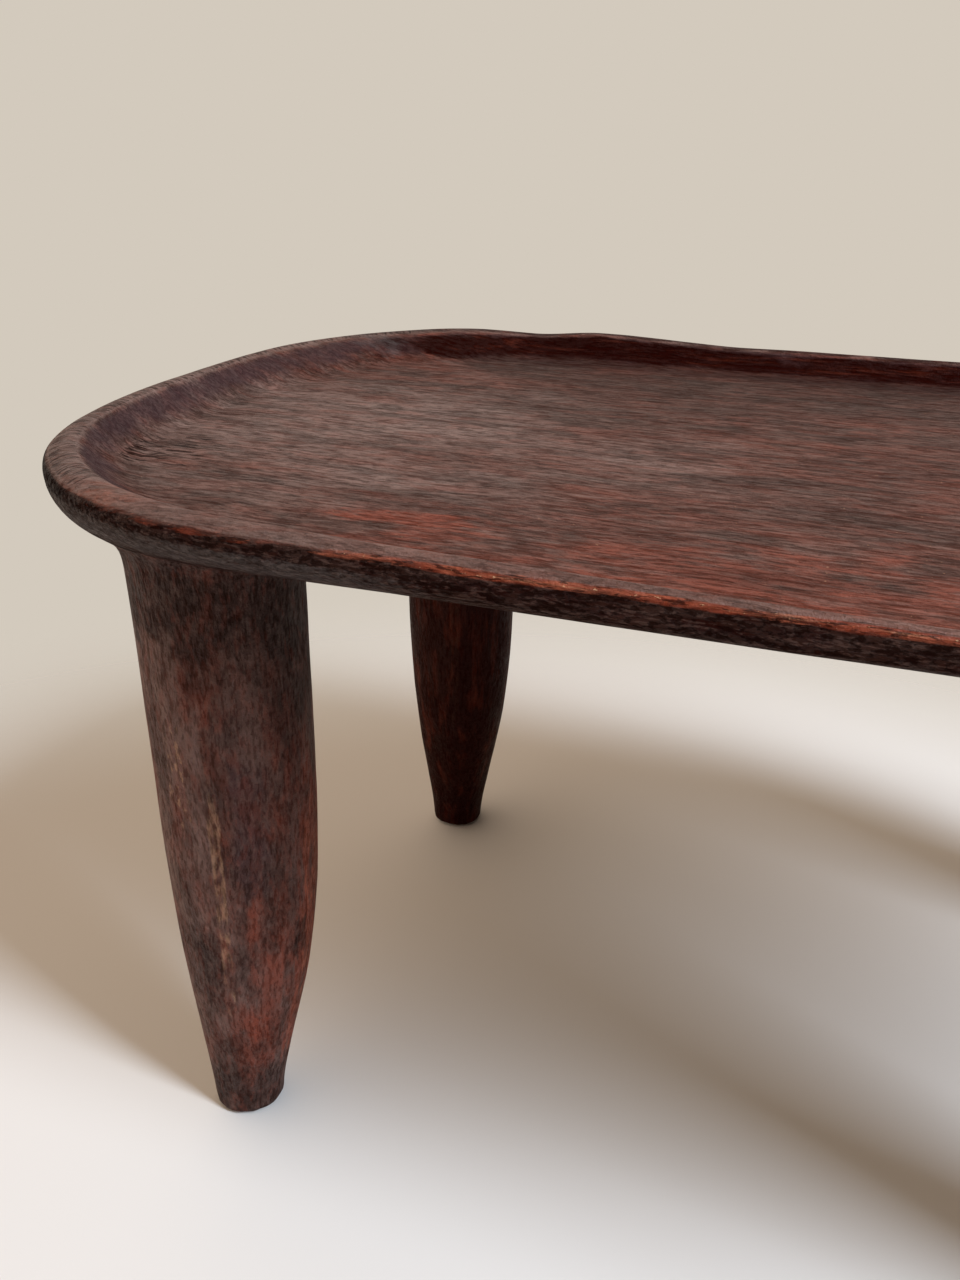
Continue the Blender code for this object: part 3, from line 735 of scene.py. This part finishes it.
def tray_wood(finish):
    """Adzed dark hardwood, oiled and handled for years: fine grain along the tray, a grey bloom in the middle that is
    partly dust and partly a painted sheen, red wood where hands have rubbed it, a smoke-darkened outside and an orange
    worn edge with pale chips. Painted shade lies on the slopes at the ends, on the outer face at the ends and on the
    floor along the walls; a painted highlight, a painted reflection and painted glints lie on the slope and outer face."""
    material, tree, shader, coords = start_wood("Handled dark hardwood, adzed tray")
    grain = wavering(tree, coords, 0.10, (0.0, 0.010, 0.006))
    outer, crest, slope = stored(tree, "rim_zones")
    along, girth, ridge = stored(tree, "rim_place")
    rim = add_node(tree, COMBINE, {0: along, 1: girth}).outputs[0]
    red, dust_and_painted_sheen, _ = stored(tree, "tones")
    wrinkled, painted_lip_sheen, floor = stored(tree, "accents")
    rub, painted_slope_highlight, smear = stored(tree, "places")
    painted_floor_shade, foot, cuts = stored(tree, "soil")
    back = add_node(tree, SEPARATE, {0: coords}).outputs["Y"]
    rear = add_node(tree, MAP_RANGE, {"Value": back, "From Min": 0.10, "From Max": 0.23}, **SMOOTH).outputs[0]
    rear_wall = chain(tree, MATH, slope, ("MULTIPLY", rear))
    rear_crest = chain(tree, MATH, crest, ("MULTIPLY", rear))
    bank = chain(tree, MATH, slope, ("MULTIPLY", floor), ("MULTIPLY_ADD", -0.6, slope))
    distance = add_node(tree, VECTOR, {0: coords}, operation="LENGTH").outputs["Value"]
    # Outer face at the far ends, which gets painted shade
    painted_shade_at_ends = chain(tree, MATH, outer, ("MULTIPLY", spot(tree, (distance, 0.64, 0.06))))
    f = finish
    # Pores are about 0.2 mm wide, too fine to show, so lines and fibres are drawn many times as wide
    gouges = streaks(tree, grain, (18, 2.6, 2.6), 1.0, 0.52, 0.57, cuts)
    wrinkles = streaks(tree, rim, (2.6, 18, 1), 6.0, 0.49, 0.60, wrinkled)
    lines = streaks(tree, grain, (20, 2.6, 2.6), 6.0, 0.50, 0.58)
    fibres = streaks(tree, grain, (7, 1.7, 1.7), 4.0, 0.50, 0.60)
    crust = streaks(tree, coords, (5, 2.2, 2.2), 6.0, 0.48, 0.58, outer)
    # Colour, strength, then a mask, or: coordinates, size in mm, detail, noise levels of the fade, zone
    layers = (
        (f.red, 0.28, grain, (170, 40, 40), 3.0, 0.42, 0.62),
        # Grey bloom on the floor, partly dust and partly a painted sheen
        (f.dust_and_painted_sheen, 0.95, grain, (90, 40, 40), 4.0, 0.10, 0.58, dust_and_painted_sheen),
        (f.red, 0.72, grain, (45, 18, 18), 2.0, 0.32, 0.56, red),
        (f.dust_and_painted_sheen, 0.36, grain, (24, 4, 4), 7.0, 0.50, 0.60),
        (f.red, 0.20, grain, (30, 10, 10), 1.0, 0.50, 0.60),
        (f.dark, 0.40, grain, (90, 14, 14), 6.0, 0.46, 0.64),
        (f.soot_and_painted_shade, 0.45, grain, (34, 20, 20), 6.0, 0.52, 0.62),
        (f.red, 0.85, grain, (20, 6, 6), 8.0, 0.36, 0.52, smear),
        (f.soot_and_painted_shade, 0.40, lines),
        (f.soot_and_painted_shade, 0.35, fibres),
        # Painted shade along the foot of the rear wall, darker and redder at the crease, and a painted shadow behind
        # the front rim
        (f.soot_and_painted_shade, 0.45, grain, (80, 14, 14), 4.0, 0.05, 0.55, painted_floor_shade),
        (f.wall, 0.55, grain, (60, 10, 10), 4.0, 0.05, 0.55, foot),
        (f.chip, 0.60, coords, (2.2, 2.2, 2.2), 2.0, 0.74, 0.77, floor),
        # Painted shade on the inner slopes at the ends
        (f.shade, 0.80, coords, (30, 30, 30), 4.0, 0.05, 0.55, bank),
        (f.dark, 0.80, gouges),
        (f.wall, 1.0, coords, (60, 30, 30), 6.0, 0.20, 0.45, rear_wall),
        (f.red, 0.22, grain, (60, 6, 4), 9.0, 0.50, 0.70, rear_wall),
        # Painted highlight: a cool grey patch on the rear-left inner slope
        (f.sheen, 0.55, coords, (20, 9, 9), 8.0, 0.30, 0.66, painted_slope_highlight),
        # Crest greyer: partly dust, partly a painted sheen
        (f.dust_and_painted_sheen, 0.52, coords, (40, 12, 12), 3.0, 0.10, 0.46, crest),
        (f.wall, 0.80, coords, (30, 8, 8), 8.0, 0.20, 0.50, rear_crest),
        (f.bare, 0.40, coords, (16, 6, 6), 9.0, 0.30, 0.66, rub),
        (f.red, 0.16, coords, (24, 8, 8), 4.0, 0.50, 0.62, crest),
        (f.dark, 0.34, coords, (7, 1.8, 1.8), 6.0, 0.50, 0.62, crest),
        (f.dust_and_painted_sheen, 0.36, coords, (16, 8, 8), 6.0, 0.26, 0.60, wrinkled),
        (f.dark, 0.65, wrinkles),
        (f.soot_and_painted_shade, 0.95, coords, (40, 40, 40), 4.0, 0.10, 0.40, outer),
        (f.wall, 0.75, coords, (26, 12, 7), 8.0, 0.42, 0.60, outer),
        # Painted glints: fine grey specks on the outer face
        (f.dust_and_painted_sheen, 0.22, coords, (6, 1.4, 1.4), 5.0, 0.50, 0.60, outer),
        # Painted shade on the outer face at the ends
        (f.dark, 0.85, coords, (30, 30, 12), 6.0, 0.20, 0.55, painted_shade_at_ends),
        (f.dark, 0.75, crust),
        # Painted reflection: a grey sheen on the lower outer face near the legs
        (f.sheen, 0.55, coords, (4, 1.6, 1.6), 7.0, 0.22, 0.62, painted_lip_sheen),
        (f.red, 0.90, coords, (40, 8, 8), 8.0, 0.36, 0.56, ridge),
        (f.bare, 0.65, coords, (50, 5, 5), 9.0, 0.47, 0.60, ridge),
        (f.bare, 0.80, coords, (12, 2.2, 2.2), 9.0, 0.49, 0.61, ridge),
        (f.chip, 0.40, coords, (70, 3, 3), 9.0, 0.52, 0.66, ridge),
        (f.dark, 0.75, coords, (9, 1.5, 1.5), 8.0, 0.50, 0.58, ridge),
        (f.chip, 0.90, coords, (3.2, 1.8, 1.8), 4.0, 0.63, 0.67, ridge),
    )
    paint_layers(tree, shader, f.heart, layers)
    dull = streaks(tree, grain, (50, 8, 8), 4.0, 0.30, 0.70)
    rough = add_node(tree, MAP_RANGE, {"Value": dull, "To Min": 0.44, "To Max": 0.62})
    tree.links.new(rough.outputs[0], shader.inputs["Roughness"])
    matt = chain(tree, MATH, outer, ("MULTIPLY_ADD", 0.9, slope))
    sheen = add_node(tree, MAP_RANGE, {"Value": matt, "To Min": 0.26, "To Max": 0.05})
    losses = ((0.8, lines), (0.7, fibres), (0.9, crust), (0.6, wrinkles), (0.8, gouges))
    broken_gloss(tree, shader, sheen.outputs[0], losses)
    ridges = (
        (-0.25, fibres),
        (-0.35, lines),
        (-1.40, gouges),
        (0.60, grain, (40, 10, 10), 6.0, 0.30, 0.70),
        (0.30, coords, (1.6, 1.6, 1.6), 3.0, 0.30, 0.70),
        (-0.70, wrinkles),
        (-0.60, crust),
    )
    grain_bump(tree, shader, ridges)
    return material


def leg_wood(finish):
    """The same hardwood scraped along the leg: streaks of red and black down the grain, a grey bloom on the
    outer side that is partly dust where hands brush it and partly a painted sheen of light, painted shade under the
    tray, on the upper inner side, on one facet and over the rear legs, and a duller satin than the tray."""
    material, tree, shader, coords = start_wood("Scraped dark hardwood, legs")
    grain = wavering(tree, coords, 0.06, (0.008, 0.008, 0.0))
    side = add_node(tree, "ShaderNodeAttribute", attribute_name="leg_side").outputs["Vector"]
    rise = add_node(tree, SEPARATE, {0: side}).outputs["Z"]
    across = add_node(tree, VECTOR, {0: side, 1: (0.8, 0.6, 0.0)}, operation="DOT_PRODUCT").outputs["Value"]
    back = add_node(tree, SEPARATE, {0: coords}).outputs["Y"]
    inner = spot(tree, (across, 1.0, 0.42), (rise, 0.36, 0.34))
    # Zones of painted shade: dim on the upper inner side, top under the tray, rear over the rear legs; outer is the
    # side with a painted sheen
    dim = spot(tree, (across, 0.85, 0.60), (rise, 0.92, 0.20))
    outer = spot(tree, (across, -0.80, 0.50))
    top = spot(tree, (rise, 1.0, 0.18))
    foot = spot(tree, (rise, 0.0, 0.13))
    rear = spot(tree, (back, 0.2, 0.12))
    seam = spot(tree, (across, -0.37, 0.10), (rise, 0.46, 0.26))
    scar = spot(tree, (across, -0.62, 0.22), (rise, 0.32, 0.12))
    rubbed = spot(tree, (across, 0.20, 0.36), (rise, 0.30, 0.20))
    knot = spot(tree, (across, 0.69, 0.11), (rise, 0.37, 0.05))
    painted_facet_shade = spot(tree, (across, 0.10, 0.30), (rise, 0.58, 0.14))
    flaked = spot(tree, (across, -0.72, 0.16), (rise, 0.66, 0.12))
    f = finish
    # Drawn many times as wide as the real pores, which are too fine to show
    lines = streaks(tree, grain, (5, 5, 25), 8.0, 0.48, 0.64)
    fibres = streaks(tree, grain, (2, 2, 7), 5.0, 0.48, 0.60)
    # Colour, strength, then a mask, or: coordinates, size in mm, detail, noise levels of the fade, zone
    layers = (
        (f.dust_and_painted_sheen, 0.38, grain, (26, 26, 60), 5.0, 0.42, 0.62),
        (f.red, 0.45, grain, (14, 14, 40), 4.0, 0.46, 0.62),
        # Painted sheen of light: the outer side lighter and greyer, partly dust
        (f.dust_and_painted_sheen, 0.62, grain, (18, 18, 50), 6.0, 0.32, 0.60, outer),
        (f.red, 0.90, grain, (9, 9, 45), 5.0, 0.26, 0.50, inner),
        (f.red, 0.55, grain, (12, 12, 30), 4.0, 0.26, 0.58, rubbed),
        (f.soot_and_painted_shade, 0.60, grain, (24, 24, 50), 5.0, 0.44, 0.62),
        (f.soot_and_painted_shade, 0.75, grain, (9, 9, 30), 9.0, 0.30, 0.56, scar),
        # Painted shade: dark under the tray, and on the upper inner side of the leg
        (f.soot_and_painted_shade, 0.90, grain, (18, 18, 14), 9.0, 0.26, 0.54, top),
        (f.soot_and_painted_shade, 0.75, grain, (12, 12, 40), 8.0, 0.24, 0.56, dim),
        # Painted shade on one facet of the leg
        (f.shade, 0.55, grain, (18, 18, 24), 5.0, 0.28, 0.60, painted_facet_shade),
        (f.soot_and_painted_shade, 0.85, grain, (9, 9, 14), 6.0, 0.22, 0.58, foot),
        (f.dust_and_painted_sheen, 0.22, grain, (3, 3, 8), 8.0, 0.48, 0.66),
        (f.red, 0.20, grain, (4, 4, 12), 4.0, 0.50, 0.64),
        (f.chip, 0.35, grain, (4, 4, 14), 9.0, 0.40, 0.62, seam),
        (f.bare, 0.60, grain, (4, 4, 22), 6.0, 0.46, 0.62, inner),
        (f.chip, 0.40, grain, (3, 3, 7), 8.0, 0.52, 0.64, flaked),
        (f.dark, 0.70, grain, (5, 5, 9), 8.0, 0.26, 0.56, knot),
        (f.dark, 0.20, lines),
        (f.dark, 0.36, fibres),
        (f.dark, 0.70, coords, (7, 7, 0.9), 2.0, 0.70, 0.74),
        # Painted shade: the rear legs darker all over
        (f.wall, 0.95, rear),
        (f.red, 0.32, grain, (8, 8, 50), 5.0, 0.46, 0.74, rear),
    )
    paint_layers(tree, shader, f.heart, layers)
    dull = streaks(tree, coords, (20, 20, 20), 4.0, 0.30, 0.70)
    rough = add_node(tree, MAP_RANGE, {"Value": dull, "To Min": 0.46, "To Max": 0.64})
    tree.links.new(rough.outputs[0], shader.inputs["Roughness"])
    sheen = add_node(tree, MAP_RANGE, {"Value": rear, "To Min": 0.13, "To Max": 0.05})
    broken_gloss(tree, shader, sheen.outputs[0], ((0.8, fibres),))
    ridges = (
        (-0.30, fibres),
        (-0.30, lines),
        (0.80, grain, (8, 8, 40), 6.0, 0.30, 0.70),
        (0.60, coords, (2.0, 2.0, 2.8), 3.0, 0.30, 0.70),
    )
    grain_bump(tree, shader, ridges)
    return material


def new_object(name, mesh):
    """Adds an object to the scene, at the origin."""
    obj = bpy.data.objects.new(name, mesh)
    bpy.context.scene.collection.objects.link(obj)
    return obj


def dress(obj, node):
    """Puts a finished piece in the place of its CAD node."""
    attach(obj, "root")
    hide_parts(node)


class CARVED_OT_tray(bpy.types.Operator):
    """Carve the tray: rim, sunk floor, underside and tool marks"""

    bl_idname = "carved_table.tray"
    bl_label = "Carve the tray"

    def execute(self, context):
        tray = context.scene.carved_tray
        piece = new_object("tray_carved", tray_blank(tray))
        values = {
            "Scoop size": (tray.scoop_length, tray.scoop_width, tray.scoop_width),
            "Scoop depth": tray.scoop_depth,
            "Wood": tray_wood(context.scene.carved_finish),
        }
        run_tree(piece, tray_marks_tree(), values)
        dress(piece, "tray_top")
        return {"FINISHED"}


class CARVED_OT_legs(bpy.types.Operator):
    """Carve the four legs up to the underside of the tray"""

    bl_idname = "carved_table.legs"
    bl_label = "Carve the legs"

    def execute(self, context):
        tray_piece = bpy.data.objects.get("tray_carved")
        if tray_piece is None:
            raise RuntimeError("carve the tray first: the legs run into its underside")
        tray, legs = context.scene.carved_tray, context.scene.carved_legs
        tree, wood = leg_tree(), leg_wood(context.scene.carved_finish)
        for number, (node, (along, across)) in enumerate(LEGS.items()):
            piece = new_object(node + "_carved", bpy.data.meshes.new(node + "_blank"))
            share, lean = (1.0, legs.lean_along) if across < 0 else (legs.rear_share, legs.rear_lean_along)
            foot = (
                along * (tray.length / 2 - legs.inset_from_end),
                across * (tray.width / 2 - legs.inset_from_side),
                0.0,
            )
            values = {
                "Tray": tray_piece,
                "Foot centre": foot,
                "Lean": (-along * lean, -across * legs.lean_across, 0.0),
                "Foot diameter": legs.foot_diameter * share,
                "Top diameter": legs.top_diameter * share,
                "Calf height": legs.calf_height,
                "Fillet": legs.fillet,
                "Facet depth": legs.facet_depth,
                "Flat side": (-FLAT_ALONG * along, FLAT_ACROSS * across, 0.0),
                "Flat depth": legs.flat_depth,
                "Seed": 2.0 + 3.7 * number,
                "Wood": wood,
            }
            run_tree(piece, tree, values)
            dress(piece, node)
        return {"FINISHED"}


class CARVED_OT_stage(bpy.types.Operator):
    """Set the plain floor, the pale room, the soft window light and the camera"""

    bl_idname = "carved_table.stage"
    bl_label = "Set the stage"

    def execute(self, context):
        scene, stage = context.scene, context.scene.carved_stage
        scene.view_settings.view_transform = "Standard"

        world = bpy.data.worlds.new("Pale room")
        world.use_nodes = True
        tree = world.node_tree
        background = tree.nodes["Background"]
        towards = add_node(tree, "ShaderNodeTexCoord").outputs["Generated"]
        brightness = add_node(tree, VECTOR, {0: towards, 1: stage.bright_side}, operation="DOT_PRODUCT")
        span = {"From Min": -0.6, "From Max": 0.9, "To Min": stage.dim_level, "To Max": stage.bright_level}
        level = add_node(tree, MAP_RANGE, {"Value": brightness.outputs["Value"], **span}, **SMOOTH)
        rays = add_node(tree, "ShaderNodeLightPath").outputs
        seen = rays["Is Camera Ray"]
        for kind in ("Is Glossy Ray", "Is Transmission Ray"):
            seen = chain(tree, MATH, seen, ("MAXIMUM", rays[kind]))
        strength = add_node(tree, "ShaderNodeMix", {0: seen, 2: level.outputs[0], 3: 1.0}, data_type="FLOAT")
        tree.links.new(strength.outputs[0], background.inputs["Strength"])
        tint = add_node(tree, "ShaderNodeMix", {0: seen, 6: (*stage.bounce, 1), 7: (*stage.room, 1)}, data_type="RGBA")
        tree.links.new(tint.outputs[2], background.inputs["Color"])
        scene.world = world

        turns = [math.tau * i / FLOOR_CORNERS for i in range(FLOOR_CORNERS)]
        corners = [(FLOOR_RADIUS * math.cos(t), FLOOR_RADIUS * math.sin(t), -FLOOR_DROP) for t in turns]
        mesh = bpy.data.meshes.new("floor")
        mesh.from_pydata(corners, [], [tuple(range(FLOOR_CORNERS))])
        floor = new_object("floor", mesh)
        material = bpy.data.materials.new("Pale plaster floor")
        material.use_nodes = True
        tree = material.node_tree
        shader = tree.nodes["Principled BSDF"]
        shader.inputs["Base Color"].default_value = (*stage.floor, 1)
        shader.inputs["Roughness"].default_value = 0.85
        coords = add_node(tree, "ShaderNodeTexCoord").outputs["Object"]
        distance = add_node(tree, VECTOR, {0: coords, 1: FADE_MIDDLE}, operation="DISTANCE").outputs["Value"]
        fade = add_node(tree, MAP_RANGE, {"Value": distance, "From Min": FADE_FROM, "From Max": FADE_TO}, **SMOOTH)
        clear = add_node(tree, "ShaderNodeBsdfTransparent")
        mix = add_node(tree, "ShaderNodeMixShader", {0: fade.outputs[0], 1: shader.outputs[0], 2: clear.outputs[0]})
        tree.links.new(mix.outputs[0], tree.nodes["Material Output"].inputs["Surface"])
        mesh.materials.append(material)

        lamp = bpy.data.lights.new("window", "AREA")
        lamp.shape = "RECTANGLE"
        lamp.size, lamp.size_y = WINDOW_WIDTH, WINDOW_HEIGHT
        lamp.energy = stage.window_power
        lamp.color = linear(WINDOW_COLOUR)
        window = new_object("window", lamp)
        window.location = Vector(WINDOW_SIDE).normalized() * WINDOW_DISTANCE + Vector(WINDOW_AIM)
        window.rotation_euler = (Vector(WINDOW_AIM) - window.location).to_track_quat("-Z", "Y").to_euler()

        camera = bpy.data.cameras.new("camera")
        camera.lens = stage.lens
        camera.sensor_width = 36.0
        camera.clip_start = 0.02
        eye = new_object("camera", camera)
        eye.location = stage.eye
        eye.rotation_euler = (math.pi / 2 - stage.tilt, 0.0, stage.turn)
        scene.camera = eye
        return {"FINISHED"}


class CARVED_PT_panel(bpy.types.Panel):
    """Lists the steps that make the table"""

    bl_idname = "CARVED_PT_panel"
    bl_label = "Carved table"
    bl_space_type = "VIEW_3D"
    bl_region_type = "UI"
    bl_category = "Carved table"

    def draw(self, context):
        for step in (CARVED_OT_tray, CARVED_OT_legs, CARVED_OT_stage):
            self.layout.operator(step.bl_idname)


CLASSES = (
    CarvedTraySizes,
    CarvedLegSizes,
    CarvedFinish,
    CarvedStage,
    CARVED_OT_tray,
    CARVED_OT_legs,
    CARVED_OT_stage,
    CARVED_PT_panel,
)
SETTINGS = {
    "carved_tray": CarvedTraySizes,
    "carved_legs": CarvedLegSizes,
    "carved_finish": CarvedFinish,
    "carved_stage": CarvedStage,
}


def register():
    for cls in CLASSES:
        bpy.utils.register_class(cls)
    for name, group in SETTINGS.items():
        setattr(bpy.types.Scene, name, bpy.props.PointerProperty(type=group))


def unregister():
    for name in SETTINGS:
        delattr(bpy.types.Scene, name)
    for cls in reversed(CLASSES):
        bpy.utils.unregister_class(cls)


def main():
    register()
    bpy.ops.carved_table.stage()
    bpy.ops.carved_table.tray()
    bpy.ops.carved_table.legs()


if __name__ == "__main__":
    main()
